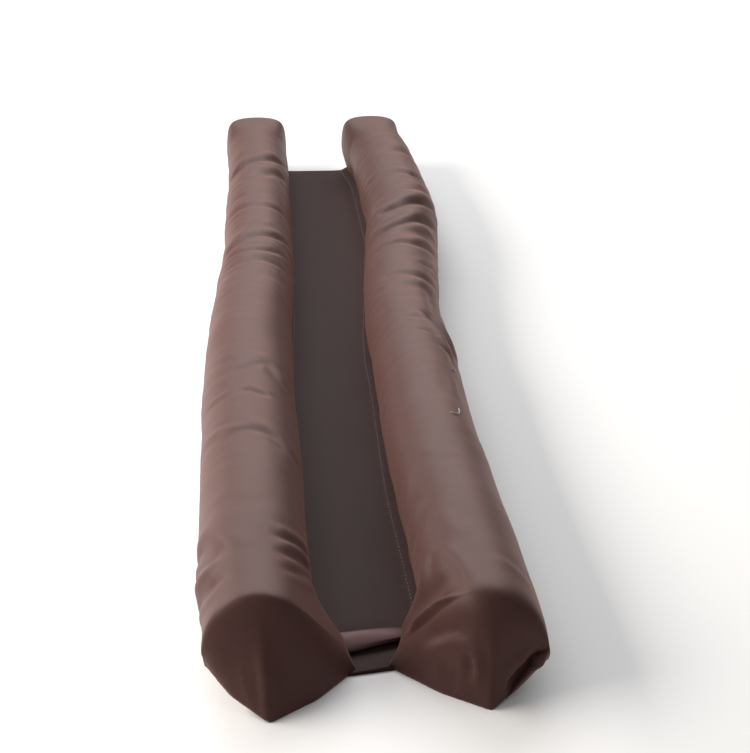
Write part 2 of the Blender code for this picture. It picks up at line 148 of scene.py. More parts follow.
# Creases: depth and breadth of the trough (a ridge has a depth below 0), the step between its far
# and its near side, the depth of the sharp pinch at its bottom, and the degrees round the sleeve and
# the place along it of the points that it runs through
LEFT_CREASES = [
    Crease(0.0017, 0.0070, 0.0006, 0.0005, [
        (258, 0.286), (207, 0.298), (168, 0.306), (148, 0.314), (105, 0.332),
    ]),
    Crease(-0.0006, 0.0070, 0.0, 0.0, [(230, 0.266), (191, 0.270), (148, 0.285), (110, 0.300)]),
    Crease(0.0006, 0.0060, 0.0, 0.0002, [
        (215, 0.244), (195, 0.247), (169, 0.258), (129, 0.280), (105, 0.290),
    ]),
    Crease(0.0004, 0.0050, 0.0, 0.0002, [(240, 0.204), (216, 0.206), (192, 0.201), (150, 0.202)]),
    Crease(0.0009, 0.0060, 0.0003, 0.0003, [
        (255, 0.176), (205, 0.173), (172, 0.169), (134, 0.176), (105, 0.178),
    ]),
    Crease(-0.0007, 0.0060, 0.0, 0.0, [
        (250, 0.102), (226, 0.106), (200, 0.108), (178, 0.122), (140, 0.136),
    ]),
    Crease(0.0014, 0.0062, 0.0005, 0.0004, [
        (255, 0.078), (207, 0.088), (171, 0.097), (125, 0.106), (100, 0.108),
    ]),
    Crease(-0.0004, 0.0045, 0.0, 0.0, [(245, 0.068), (204, 0.074), (160, 0.078), (125, 0.084)]),
    Crease(0.0008, 0.0045, 0.0, 0.0003, [
        (250, 0.066), (204, 0.060), (168, 0.060), (132, 0.069), (105, 0.072),
    ]),
    Crease(-0.0005, 0.0045, 0.0, 0.0, [
        (240, 0.056), (222, 0.055), (186, 0.047), (150, 0.053), (120, 0.058),
    ]),
    Crease(0.0008, 0.0050, 0.0, 0.0003, [
        (240, 0.036), (201, 0.035), (178, 0.035), (145, 0.039), (110, 0.042),
    ]),
    Crease(0.0005, 0.0065, 0.0, 0.0, [(225, -0.006), (200, -0.001), (165, 0.007), (120, 0.006)]),
    Crease(-0.0005, 0.0045, 0.0, 0.0, [
        (235, -0.136), (218, -0.139), (199, -0.145), (159, -0.149), (140, -0.154),
    ]),
    Crease(0.0007, 0.0050, 0.0003, 0.0003, [
        (215, -0.166), (186, -0.170), (159, -0.160), (145, -0.173), (130, -0.186),
    ]),
    Crease(0.0006, 0.0038, 0.0005, 0.0004, [
        (196, -0.202), (184, -0.204), (172, -0.207), (152, -0.212),
    ]),
    Crease(-0.0005, 0.0035, 0.0, 0.0, [(236, -0.197), (218, -0.203), (204, -0.200)]),
    Crease(-0.0007, 0.0050, 0.0, 0.0, [
        (262, -0.243), (235, -0.249), (206, -0.257), (172, -0.268), (141, -0.280), (120, -0.300),
    ]),
    Crease(0.0011, 0.0055, 0.0008, 0.0004, [
        (215, -0.262), (202, -0.262), (177, -0.263), (156, -0.268), (128, -0.286),
    ]),
    Crease(0.0004, 0.0070, 0.0, 0.0, [(225, -0.341), (208, -0.345), (192, -0.354), (150, -0.352)]),
    Crease(-0.0004, 0.0045, 0.0, 0.0, [(168, -0.372), (151, -0.376), (129, -0.376), (100, -0.366)]),
    Crease(0.0005, 0.0040, 0.0, 0.0003, [(165, -0.384), (149, -0.385), (129, -0.381), (100, -0.373)]),
    Crease(-0.0004, 0.0038, 0.0, 0.0, [(163, -0.392), (146, -0.391), (128, -0.387), (100, -0.378)]),
    Crease(0.0007, 0.0044, 0.0003, 0.0004, [
        (165, -0.401), (141, -0.400), (123, -0.395), (100, -0.386),
    ]),
    Crease(0.0006, 0.0042, 0.0, 0.0003, [(160, -0.418), (136, -0.414), (113, -0.403), (95, -0.395)]),
    Crease(-0.0004, 0.0038, 0.0, 0.0, [(158, -0.428), (135, -0.420), (112, -0.410), (96, -0.402)]),
    Crease(0.0015, 0.0060, 0.0006, 0.0004, [
        (205, -0.408), (229, -0.388), (246, -0.374), (265, -0.368), (285, -0.366),
    ]),
    Crease(-0.0008, 0.0045, 0.0, 0.0, [(212, -0.407), (232, -0.405), (251, -0.402), (275, -0.396)]),
    Crease(0.0014, 0.0052, 0.0005, 0.0004, [
        (204, -0.418), (224, -0.421), (238, -0.420), (262, -0.412), (285, -0.405),
    ]),
    Crease(-0.0007, 0.0040, 0.0, 0.0, [(216, -0.432), (236, -0.430), (256, -0.425), (280, -0.418)]),
]
RIGHT_CREASES = [
    Crease(0.0008, 0.0070, 0.0, 0.0002, [(150, 0.316), (189, 0.322), (212, 0.332), (250, 0.340)]),
    Crease(0.0012, 0.0065, 0.0004, 0.0004, [
        (110, 0.250), (150, 0.254), (190, 0.254), (215, 0.256), (262, 0.278),
    ]),
    Crease(0.0007, 0.0060, 0.0, 0.0002, [(110, 0.196), (167, 0.200), (206, 0.209), (262, 0.236)]),
    Crease(0.0020, 0.0062, 0.0006, 0.0008, [
        (105, 0.146), (166, 0.158), (197, 0.172), (237, 0.190), (270, 0.204),
    ]),
    Crease(-0.0007, 0.0060, 0.0, 0.0, [(172, 0.138), (191, 0.146), (226, 0.165), (262, 0.182)]),
    Crease(0.0012, 0.0120, 0.0, 0.0, [(130, 0.125), (150, 0.130), (170, 0.138), (184, 0.145)]),
    Crease(0.0019, 0.0060, 0.0006, 0.0008, [
        (105, 0.096), (168, 0.113), (198, 0.126), (246, 0.149), (272, 0.160),
    ]),
    Crease(-0.0008, 0.0058, 0.0, 0.0, [(150, 0.088), (179, 0.098), (220, 0.113), (256, 0.124)]),
    Crease(0.0011, 0.0055, 0.0004, 0.0004, [
        (110, 0.062), (168, 0.067), (205, 0.069), (251, 0.089), (275, 0.100),
    ]),
    Crease(0.0005, 0.0045, 0.0, 0.0003, [(200, 0.028), (216, 0.030), (242, 0.041), (260, 0.050)]),
    Crease(0.0007, 0.0050, 0.0, 0.0003, [(130, 0.006), (183, 0.000), (221, 0.002), (256, 0.010)]),
    Crease(-0.0008, 0.0060, 0.0, 0.0, [(125, -0.018), (173, -0.017), (207, -0.013), (240, -0.008)]),
    Crease(0.0008, 0.0050, 0.0, 0.0004, [(228, -0.006), (226, -0.041), (220, -0.070), (214, -0.084)]),
    Crease(0.0018, 0.0042, 0.0006, 0.0010, [
        (190, -0.068), (206, -0.076), (220, -0.091), (236, -0.108), (250, -0.128),
    ]),
    Crease(-0.0006, 0.0040, 0.0, 0.0, [
        (196, -0.082), (210, -0.093), (220, -0.107), (228, -0.126), (230, -0.146),
    ]),
    Crease(0.0007, 0.0036, 0.0, 0.0005, [(208, -0.126), (222, -0.129), (230, -0.138), (233, -0.154)]),
    Crease(0.0005, 0.0038, 0.0, 0.0003, [(165, -0.087), (180, -0.087), (195, -0.088), (208, -0.092)]),
    Crease(0.0005, 0.0038, 0.0, 0.0003, [(176, -0.112), (192, -0.110), (204, -0.111), (216, -0.115)]),
    Crease(-0.0005, 0.0045, 0.0, 0.0, [(212, -0.168), (217, -0.180), (218, -0.196), (216, -0.214)]),
    Crease(-0.0004, 0.0050, 0.0, 0.0, [(146, -0.286), (156, -0.289), (170, -0.296), (190, -0.303)]),
    Crease(-0.0006, 0.0060, 0.0, 0.0, [(146, -0.300), (123, -0.308), (105, -0.325), (92, -0.345)]),
    Crease(0.0007, 0.0060, 0.0, 0.0, [(150, -0.340), (128, -0.350), (108, -0.362), (94, -0.372)]),
    Crease(-0.0004, 0.0050, 0.0, 0.0, [(140, -0.358), (149, -0.365), (162, -0.381), (178, -0.398)]),
    Crease(0.0007, 0.0045, 0.0, 0.0003, [(132, -0.390), (127, -0.402), (126, -0.415), (124, -0.428)]),
    Crease(-0.0007, 0.0050, 0.0, 0.0, [(190, -0.414), (206, -0.421), (226, -0.426), (246, -0.428)]),
]

LEFT_NEAR = End(
    blend=0.050,
    edge=0.005,
    rounding=0.0022,
    ridge=128.571,
    corner=(0.0390, 0.0085),
    setback=0.028,
    tuck=1.0,
    square=0.0,
    hem=[
        Hem(0.0435, -0.020, 0.0),
        Hem(0.0250, 0.006, 0.0),
        Hem(0.0040, 0.0245, 0.0),
        Hem(-0.0125, 0.0125, 0.0070),
        Hem(-0.0245, 0.0005, 0.0165),
    ],
)
RIGHT_NEAR = End(
    blend=0.050,
    edge=0.012,
    rounding=0.0050,
    ridge=154.286,
    corner=(0.0350, 0.0085),
    setback=0.040,
    tuck=1.0,
    square=0.0,
    hem=[
        Hem(0.0425, -0.022, 0.0),
        Hem(0.0210, 0.003, 0.0),
        Hem(0.0000, 0.0195, 0.0),
        Hem(-0.0135, 0.0060, 0.0030),
        Hem(-0.0285, -0.0030, 0.0130),
    ],
)
FAR = End(
    blend=0.050,
    edge=0.006,
    rounding=0.0016,
    ridge=90.0,
    corner=None,
    setback=0.0,
    tuck=0.0,
    square=0.75,
    hem=[
        Hem(0.0150, 0.008, 0.0),
        Hem(0.0070, 0.018, 0.0),
        Hem(-0.0010, 0.0245, 0.0),
        Hem(-0.0090, 0.016, 0.0),
        Hem(-0.0170, 0.006, 0.0),
    ],
)

# Dents and ridges in the near ends: how deep (a ridge is below 0), how broad, and the points across,
# along and up that each runs through
LEFT_DENTS = [
    Dent(-0.0008, 0.0030, [
        (-0.0500, -0.456, 0.033), (-0.0488, -0.460, 0.023), (-0.0480, -0.464, 0.014),
        (-0.0470, -0.468, 0.005),
    ]),
    Dent(0.0007, 0.0040, [
        (-0.0440, -0.456, 0.032), (-0.0430, -0.460, 0.021), (-0.0425, -0.464, 0.010),
    ]),
    Dent(-0.0007, 0.0013, [
        (-0.0560, -0.4610, 0.0125), (-0.0530, -0.4625, 0.0155), (-0.0490, -0.4635, 0.0168),
        (-0.0450, -0.4625, 0.0165),
    ]),
    Dent(-0.0006, 0.0014, [
        (-0.0600, -0.4590, 0.0175), (-0.0570, -0.4615, 0.0125), (-0.0545, -0.4645, 0.0070),
    ]),
    Dent(0.0007, 0.0022, [
        (-0.0540, -0.4640, 0.0090), (-0.0500, -0.4655, 0.0110), (-0.0460, -0.4650, 0.0105),
    ]),
    Dent(-0.0009, 0.0060, [
        (-0.0690, -0.4500, 0.031), (-0.0705, -0.4520, 0.020), (-0.0680, -0.4550, 0.010),
    ]),
]
RIGHT_DENTS = [
    Dent(-0.0032, 0.0016, [
        (0.0400, -0.4412, 0.0508), (0.0350, -0.4407, 0.0462), (0.0299, -0.4341, 0.0370),
        (0.0248, -0.4277, 0.0280), (0.0201, -0.4214, 0.0193), (0.0150, -0.4142, 0.0105),
    ]),
    Dent(-0.0010, 0.0035, [
        (0.0320, -0.3960, 0.0450), (0.0365, -0.4080, 0.0480), (0.0395, -0.4218, 0.0494),
        (0.0402, -0.4339, 0.0505), (0.0380, -0.4410, 0.0490),
    ]),
    Dent(0.0014, 0.0060, [
        (0.0330, -0.4250, 0.0440), (0.0260, -0.4180, 0.0330), (0.0200, -0.4110, 0.0220),
        (0.0160, -0.4060, 0.0140),
    ]),
    Dent(0.0017, 0.0050, [
        (0.0190, -0.4300, 0.0180), (0.0271, -0.4417, 0.0256), (0.0336, -0.4508, 0.0308),
        (0.0420, -0.4560, 0.0330),
    ]),
    Dent(-0.0016, 0.0028, [
        (0.0170, -0.4330, 0.0100), (0.0230, -0.4392, 0.0160), (0.0296, -0.4473, 0.0241),
        (0.0335, -0.4520, 0.0266), (0.0380, -0.4561, 0.0265), (0.0410, -0.4583, 0.0240),
        (0.0424, -0.4595, 0.0190), (0.0424, -0.4603, 0.0140), (0.0410, -0.4600, 0.0080),
        (0.0385, -0.4585, 0.0040),
    ]),
    Dent(0.0018, 0.0026, [
        (0.0380, -0.4565, 0.0225), (0.0392, -0.4580, 0.0180), (0.0385, -0.4585, 0.0130),
    ]),
    Dent(0.0014, 0.0030, [
        (0.0270, -0.4470, 0.0125), (0.0315, -0.4522, 0.0110), (0.0360, -0.4560, 0.0130),
    ]),
    Dent(-0.0012, 0.0026, [
        (0.0320, -0.4530, 0.0065), (0.0365, -0.4570, 0.0075), (0.0400, -0.4595, 0.0095),
    ]),
    Dent(0.0032, 0.0042, [
        (0.0540, -0.4600, 0.0055), (0.0600, -0.4557, 0.0090), (0.0650, -0.4530, 0.0125),
        (0.0690, -0.4520, 0.0165), (0.0735, -0.4500, 0.0210),
    ]),
    Dent(-0.0016, 0.0032, [
        (0.0530, -0.4620, 0.0100), (0.0590, -0.4575, 0.0150), (0.0640, -0.4540, 0.0190),
        (0.0690, -0.4520, 0.0240),
    ]),
]

# Distance between sections from each place on, and how strong the uneven stuffing and the fine
# wrinkles are along a sleeve
LEFT_ZONES = [
    Zone(-0.396, 0.0016),
    Zone(-0.360, 0.0030),
    Zone(-0.290, 0.0015),
    Zone(-0.125, 0.0030),
    Zone(-0.020, 0.0014),
    Zone(0.345, 0.0026),
]
RIGHT_ZONES = [
    Zone(-0.396, 0.0020),
    Zone(-0.340, 0.0028),
    Zone(-0.155, 0.0015),
    Zone(0.290, 0.0020),
    Zone(0.345, 0.0026),
]
LEFT_GRAIN = [
    Grain(-0.470, 0.3, 0.15),
    Grain(-0.300, 0.8, 0.30),
    Grain(-0.050, 0.8, 0.40),
    Grain(0.040, 1.0, 1.00),
    Grain(0.320, 1.0, 1.00),
    Grain(0.470, 0.5, 0.30),
]
RIGHT_GRAIN = [
    Grain(-0.470, 0.3, 0.15),
    Grain(-0.300, 0.8, 0.35),
    Grain(-0.100, 0.8, 0.60),
    Grain(0.060, 1.0, 1.00),
    Grain(0.320, 1.0, 1.00),
    Grain(0.470, 0.5, 0.40),
]

LEFT = Sleeve(
    name="sleeve_left", node="tube_left", inner=1, spine=LEFT_SPINE, creases=LEFT_CREASES,
    near=LEFT_NEAR, far=FAR, dents=LEFT_DENTS, zones=LEFT_ZONES, grain=LEFT_GRAIN, seed=3.7,
)
RIGHT = Sleeve(
    name="sleeve_right", node="tube_right", inner=-1, spine=RIGHT_SPINE, creases=RIGHT_CREASES,
    near=RIGHT_NEAR, far=FAR, dents=RIGHT_DENTS, zones=RIGHT_ZONES, grain=RIGHT_GRAIN, seed=11.3,
)

# Web
WEB_NEAR = -0.4175  # near hem, at the left sleeve
WEB_FAR = FAR_END - 0.004
HEM_SKEW = 0.0155  # how much farther along the near hem lies at the right sleeve
ARCH_HEIGHT = 0.0040  # how far the near hem arches up off the floor
ARCH_LENGTH = 0.034
ARCH_DROP = 0.3  # share of that height which is lost at both sleeves
ROLL_LENGTH = 0.010
ROLL_RAMP = 1.6, 0.8  # the roll swells between these shares of its length
ROLL_LEFT, ROLL_RIGHT = 0.0054, 0.0014  # thickness of the rolled near hem at its two feet
NOSE_LEAST = 0.08  # share of the roll's thickness at its very edge
WEB_COLUMNS = 36
EDGE_CROWDING = 0.45  # how strongly the web's columns crowd towards both sleeves
WEB_STEP = 0.004
HEM_STEP = 0.0008  # distance between the web's rows on its rolled near hem
RISE = 0.0030  # how far the web's edge turns up along a sleeve
RISE_REACH = 0.0045  # distance from the sleeve over which it does so
PUCKER = 0.00035  # height of the puckers that the stitching draws
PUCKER_STEP = 0.011  # mean distance between them
PUCKER_REACH = 0.006
TROUGH = 0.0004  # depth of the trough under each row of stitches
TROUGH_INSET = 0.0050  # distance of the trough from the sleeve
TROUGH_WIDTH = 0.0022
LAP = 0.0004  # how far the web's edge runs into the sleeve's cloth at the stitching
LOWEST_SEAM = 0.0010  # lowest height at which the web's edge looks for a sleeve
FOLD = 0.0056  # how far back from the near hem its two layers part
LAYER = 0.0150  # how far the lower layer runs out on the floor in front of the upper one
LAYER_TOP = 0.0024, 0.0007  # height of the lower layer's top, from the fold to its own edge
LAYER_SKEW = 0.3  # share of the near hem's skew that the lower layer's edge has
LAYER_ROWS = 12
LIP_HIGHLIGHT_UP = 0.0030, 0.0060  # the lip's painted highlight sets in between these heights
LIP_HIGHLIGHT_ALONG = -0.398, -0.404  # and between these places along the web

# Stitches: where the rows start and stop, how far they stand from the sleeves, the height at which
# that is taken, and the share of a stitch's length and how deep it is sunk at each of its points
STITCH_START = WEB_NEAR + 0.020
STITCH_STOP = WEB_FAR - 0.006
STITCH_INSET = 0.0050
STITCH_LEVEL = 0.0045
STITCH_FORM = (0.0, 1.0), (0.12, 0.15), (0.5, -0.15), (0.88, 0.15), (1.0, 1.0)
ABOVE_WEB = 0.020  # height from which the web's top is sought

# Tacks: the degrees round the right sleeve and the place along it of the points that each runs through
TACKS = [
    [(222.0, -0.162), (227.0, -0.1605), (231.0, -0.158)],
    [(198.0, -0.243), (206.0, -0.2425), (212.0, -0.237), (213.0, -0.230)],
]
TACK_FINENESS = 5  # points of a tack's thread for each point given

# Finish that no setting changes
SHINE = 0.13
SHINE_TINT = 1.0, 0.80, 0.76
FLOOR_SHINE = 0.05

# Stage
FLOOR_DROP = 0.0002  # the floor lies this far below the object, so that the two don't share a plane
OVERHEAD = Softbox(
    place=(0.05, 2.1, 1.75), target=(0.0, -0.1, 0.0), size=(2.4, 1.2), colour=(1.0, 1.0, 1.0),
)
SIDE = Softbox(
    place=(-0.60, -0.10, 0.42), target=(0.0, -0.10, 0.03), size=(1.2, 0.3), colour=(1.0, 0.94, 0.88),
)
CAMERA_PLACE = -0.045, -1.190, 0.431
CAMERA_DOWN = math.radians(20.8)
CAMERA_RIGHT = math.radians(3.4)
SENSOR = 36.0  # side of the camera's sensor, in millimetres as Blender counts it
FOCUS = 1935.0 / 753.0 * SENSOR  # focal length in pixels over the picture's larger side in pixels


class ClothSettings(bpy.types.PropertyGroup):
    """Finish of the cover cloth."""

    colour: FloatVectorProperty(
        name="Sleeve colour", description="Colour of the sleeves' cloth", subtype="COLOR", size=3,
        min=0.0, max=1.0, default=(0.054, 0.0250, 0.0225),
    )
    # Partly the web's own colour and partly painted shade: it is darker than the sleeves' cloth, standing
    # for the shade in the slot between them.
    web_colour_and_painted_shade: FloatVectorProperty(
        name="Web colour", description="Colour of the web's cloth", subtype="COLOR", size=3,
        min=0.0, max=1.0, default=(0.036, 0.0170, 0.0155),
    )
    # Painted highlight: a lighter colour on the web's raised near hem, standing for the light that falls on
    # it.
    lip_highlight_colour: FloatVectorProperty(
        name="Lip colour", description="Colour of the web's raised near hem", subtype="COLOR", size=3,
        min=0.0, max=1.0, default=(0.240, 0.152, 0.150),
    )
    web_shine: FloatProperty(
        name="Web shine", description="How much of the sleeves' shine the web has", subtype="FACTOR",
        min=0.0, max=1.0, default=0.25,
    )
    sheen_colour: FloatVectorProperty(
        name="Sheen colour", description="Colour of the soft shine", subtype="COLOR", size=3,
        min=0.0, max=1.0, default=(1.00, 0.54, 0.46),
    )
    sheen: FloatProperty(
        name="Sheen", description="Strength of the soft shine", subtype="FACTOR",
        min=0.0, max=1.0, default=0.20,
    )
    roughness: FloatProperty(
        name="Roughness", description="Roughness of the cloth", subtype="FACTOR",
        min=0.0, max=1.0, default=0.48,
    )
    thread: FloatProperty(
        name="Thread spacing", description="Distance between the threads of the weave", unit="LENGTH",
        precision=5, min=0.0001, default=0.0006,
    )


class ShapeSettings(bpy.types.PropertyGroup):
    """Unevenness of the stuffed sleeves."""

    lump: FloatProperty(
        name="Stuffing", description="Height of the uneven stuffing", unit="LENGTH",
        precision=5, default=0.0009,
    )
    wrinkle: FloatProperty(
        name="Wrinkles", description="Height of the fine wrinkles", unit="LENGTH",
        precision=5, default=0.0004,
    )
    crease: FloatProperty(
        name="Creases", description="Strength of the drawn creases", subtype="FACTOR",
        min=0.0, max=1.5, default=1.0,
    )


class SewingSettings(bpy.types.PropertyGroup):
    """Threads of the seams and the two tacks."""

    stitch: FloatProperty(
        name="Stitch", description="Length of one stitch", unit="LENGTH", precision=4, default=0.0030
    )
    gap: FloatProperty(
        name="Gap", description="Distance between two stitches", unit="LENGTH", precision=4, default=0.0010
    )
    thread: FloatProperty(
        name="Thread", description="Thickness of the thread", unit="LENGTH", precision=5, default=0.0005
    )
    colour: FloatVectorProperty(
        name="Thread colour", description="Colour of the seams' thread", subtype="COLOR", size=3,
        min=0.0, max=1.0, default=(0.070, 0.042, 0.036),
    )
    tack: FloatProperty(
        name="Tack", description="Thickness of the tacks' thread", unit="LENGTH", precision=5, default=0.0009
    )
    tack_colour: FloatVectorProperty(
        name="Tack colour", description="Colour of the two tacks' thread", subtype="COLOR", size=3,
        min=0.0, max=1.0, default=(0.26, 0.22, 0.21),
    )


class StageSettings(bpy.types.PropertyGroup):
    """Floor and light."""

    floor_size: FloatProperty(
        name="Floor", description="Length of the floor's sides", unit="LENGTH", default=16.0
    )
    floor_colour: FloatVectorProperty(
        name="Floor colour", description="Colour of the floor", subtype="COLOR", size=3,
        min=0.0, max=1.0, default=(0.92, 0.92, 0.92),
    )
    sky: FloatProperty(name="Sky", description="Brightness of the even light from all sides", default=0.34)
    overhead: FloatProperty(
        name="Overhead", description="Power of the large softbox above and behind", unit="POWER",
        default=56.0,
    )
    side: FloatProperty(
        name="Side", description="Power of the long softbox on the left", unit="POWER", default=10.0
    )


class Value:
    """A number from a shader node, which sums and products in Python join to further nodes."""

    def __init__(self, graph, socket):
        self.graph = graph
        self.socket = socket

    def join(self, operation, first, second):
        """A Math node of two values."""
        return self.graph.node("ShaderNodeMath", {"operation": operation}, {0: first, 1: second})

    def __add__(self, other):
        return self.join("ADD", self, other)

    def __radd__(self, other):
        return self.join("ADD", other, self)

    def __sub__(self, other):
        return self.join("SUBTRACT", self, other)

    def __rsub__(self, other):
        return self.join("SUBTRACT", other, self)

    def __mul__(self, other):
        return self.join("MULTIPLY", self, other)

    def __rmul__(self, other):
        return self.join("MULTIPLY", other, self)


class Graph:
    """The nodes of one material."""

    def __init__(self, name):
        self.material = bpy.data.materials.new(name)
        self.material.use_nodes = True
        self.tree = self.material.node_tree
        self.shader = self.tree.nodes["Principled BSDF"]

    def node(self, kind, settings, sockets, output=0):
        """Add a node: its settings first, then the values or links of its sockets."""
        made = self.tree.nodes.new(kind)
        for key, setting in settings.items():
            setattr(made, key, setting)
        self.fill(made, sockets)
        return Value(self, made.outputs[output])

    def fill(self, made, sockets):
        """Set or link sockets of a node."""
        for key, given in sockets.items():
            if isinstance(given, Value):
                self.tree.links.new(given.socket, made.inputs[key])
            else:
                made.inputs[key].default_value = given

    def share(self, value, limits):
        """How far a value has come from the first of two limits to the second, from 0 to 1."""
        return self.node(
            "ShaderNodeMapRange", {}, {"Value": value, "From Min": limits[0], "From Max": limits[1]}
        )

    def mix(self, factor, first, second):
        """A colour between two colours."""
        return self.node(
            "ShaderNodeMix", {"data_type": "RGBA"}, {"Factor": factor, 6: first, 7: second}, output=2
        )


def opaque(colour, gain=1.0):
    """A colour with its alpha, brighter or darker by a gain."""
    return tuple(gain * part for part in colour) + (1.0,)


def cloth_material(name, colour, lip_highlight_colour, shine, settings):
    """Smooth woven cloth with a soft sheen, uneven colour and a fine weave; where a separate lip colour is
    given, a painted highlight on the web's raised near hem.
    """
    graph = Graph(name)
    place = graph.node("ShaderNodeTexCoord", {}, {}, "Object")
    across = graph.node("ShaderNodeUVMap", {"uv_map": "UVMap"}, {})
    warp = graph.node("ShaderNodeSeparateXYZ", {}, {0: across}, output=0)
    weft = graph.node("ShaderNodeSeparateXYZ", {}, {0: across}, output=1)
    turn = math.tau / settings.thread
    warp_wave = graph.node("ShaderNodeMath", {"operation": "SINE"}, {0: warp * turn})
    weft_wave = graph.node("ShaderNodeMath", {"operation": "SINE"}, {0: weft * turn})
    weave = warp_wave * weft_wave * 0.5 + 0.5
    cloudy = graph.node("ShaderNodeTexNoise", {}, {"Vector": place, "Scale": 22.0, "Detail": 4.0})
    worn = graph.node("ShaderNodeTexNoise", {}, {"Vector": place, "Scale": 160.0, "Detail": 3.0})
    slub_place = graph.node(
        "ShaderNodeVectorMath", {"operation": "MULTIPLY"}, {0: across, 1: (60.0, 1400.0, 1.0)}
    )
    slub = graph.node("ShaderNodeTexNoise", {}, {"Vector": slub_place, "Scale": 1.0, "Detail": 2.0})
    tone = cloudy * 0.6 + worn * 0.25 + slub * 0.15
    shade = graph.mix(tone, opaque(colour, 0.80), opaque(colour, 1.20))
    # Painted highlight: the web's raised near hem takes a lighter colour, standing for the light that falls
    # on it.
    if tuple(lip_highlight_colour) != tuple(colour):
        along = graph.node("ShaderNodeSeparateXYZ", {}, {0: place}, output=1)
        up = graph.node("ShaderNodeSeparateXYZ", {}, {0: place}, output=2)
        raised = graph.share(up, LIP_HIGHLIGHT_UP)
        near = graph.share(along, LIP_HIGHLIGHT_ALONG)
        shade = graph.mix(raised * near, shade, opaque(lip_highlight_colour))
    rough = settings.roughness - 0.06 + tone * 0.12
    height = weave * 0.45 + worn * 0.43 + slub * 0.12
    bump = graph.node("ShaderNodeBump", {}, {"Strength": 0.22, "Distance": 0.00025, "Height": height})
    graph.fill(graph.shader, {
        "Base Color": shade,
        "Roughness": rough,
        "Normal": bump,
        "Sheen Weight": settings.sheen * shine,
        "Sheen Roughness": 0.45,
        "Sheen Tint": opaque(settings.sheen_colour),
        "Specular IOR Level": SHINE * shine,
        "Specular Tint": opaque(SHINE_TINT),
    })
    return graph.material


def thread_material(name, colour):
    """Twisted thread, a little brighter along its strands."""
    graph = Graph(name)
    place = graph.node("ShaderNodeTexCoord", {}, {}, "Object")
    twist = graph.node("ShaderNodeTexNoise", {}, {"Vector": place, "Scale": 2600.0, "Detail": 1.0})
    shade = graph.mix(twist, opaque(colour, 0.65), opaque(colour, 1.35))
    bump = graph.node("ShaderNodeBump", {}, {"Strength": 0.4, "Distance": 0.0001, "Height": twist})
    graph.fill(graph.shader, {"Base Color": shade, "Roughness": 0.5, "Normal": bump, "Sheen Weight": 0.2})
    return graph.material


def floor_material(colour):
    """Pale matt floor with a faint unevenness."""
    graph = Graph("pale_floor")
    place = graph.node("ShaderNodeTexCoord", {}, {}, "Object")
    cloudy = graph.node("ShaderNodeTexNoise", {}, {"Vector": place, "Scale": 1.5, "Detail": 2.0})
    shade = graph.mix(cloudy, opaque(colour, 0.99), opaque(colour, 1.01))
    graph.fill(graph.shader, {
        "Base Color": shade,
        "Roughness": 0.75 + cloudy * 0.05,
        "Specular IOR Level": FLOOR_SHINE,
    })
    return graph.material


def smooth(low, high, value):
    """Rise from 0 at low to 1 at high with level ends."""
    t = np.clip((value - low) / (high - low), 0.0, 1.0)
    return t * t * (3.0 - 2.0 * t)


def band(stretch, place):
    """1 on a stretch and 0 off it, with soft borders."""
    start, full, ebb, stop = stretch
    return smooth(start, full, place) * smooth(stop, ebb, place)


def spine_at(spine, along):
    """Across, width and height of a sleeve at places along it, on a curve through the table's rows."""
    rows = np.array(spine)
    i = np.searchsorted(rows[1:-1, 0], along, side="left")
    a, b = rows[i], rows[i + 1]
    before, after = rows[np.maximum(i - 1, 0)], rows[np.minimum(i + 2, len(rows) - 1)]
    span = b[..., :1] - a[..., :1]
    t = np.clip((np.asarray(along)[..., None] - a[..., :1]) / span, 0.0, 1.0)
    slope_a = (b - before) / (b[..., :1] - before[..., :1]) * span
    slope_b = (after - a) / (after[..., :1] - a[..., :1]) * span
    found = (
        a * (1 + 2 * t) * (1 - t) ** 2
        + slope_a * t * (1 - t) ** 2
        + b * t * t * (3 - 2 * t)
        - slope_b * t * t * (1 - t)
    )
    return found[..., 1], found[..., 2], found[..., 3]


def unit_section(degrees):
    """Inward and up of points on a section of radius 1."""
    angle = np.radians(degrees)
    toe = math.radians(TOE)
    lift = toe + math.acos(math.cos(toe) / AXIS_UP)
    taut = 1.0 / np.cos(np.clip(lift - angle, 0.0, lift - toe))
    foot = angle <= toe + 1e-9
    inward = np.where(foot, AXIS_UP * np.tan(np.minimum(angle, toe)), taut * np.sin(angle))
    up = np.where(foot, 0.0, np.maximum(AXIS_UP - taut * np.cos(angle), 0.0))
    return inward, up


def curve_through(points, count):
    """Points on a smooth curve through the given ones."""
    points = np.array(points, float)
    padded = np.vstack([2 * points[0] - points[1], points, 2 * points[-1] - points[-2]])
    places = np.linspace(0.0, len(points) - 1, count)
    found = []
    for place in places:
        i = min(int(place), len(points) - 2)
        t = place - i
        p0, p1, p2, p3 = padded[i:i + 4]
        found.append(
            p1 + 0.5 * t * (p2 - p0 + t * (2 * p0 - 5 * p1 + 4 * p2 - p3 + t * (3 * (p1 - p2) + p3 - p0)))
        )
    return np.array(found)


def nearest(path, points):
    """Offset, share of the length and run of the path where it comes closest to each point."""
    lengths = np.linalg.norm(np.diff(path, axis=0), axis=1)
    reached = np.concatenate([[0.0], np.cumsum(lengths)]) / lengths.sum()
    closest = np.full(points.shape[:-1], np.inf)
    offset = np.zeros(points.shape)
    share = np.zeros(points.shape[:-1])
    run = np.zeros(points.shape)
    for i in range(len(path) - 1):
        way = path[i + 1] - path[i]
        t = np.clip((points - path[i]) @ way / (way @ way), 0.0, 1.0)
        away = points - path[i] - t[..., None] * way
        distance = np.linalg.norm(away, axis=-1)
        nearer = distance < closest
        closest = np.where(nearer, distance, closest)
        offset[nearer] = away[nearer]
        share[nearer] = (reached[i] + t * (reached[i + 1] - reached[i]))[nearer]
        run[nearer] = way / np.linalg.norm(way)
    return offset, share, run


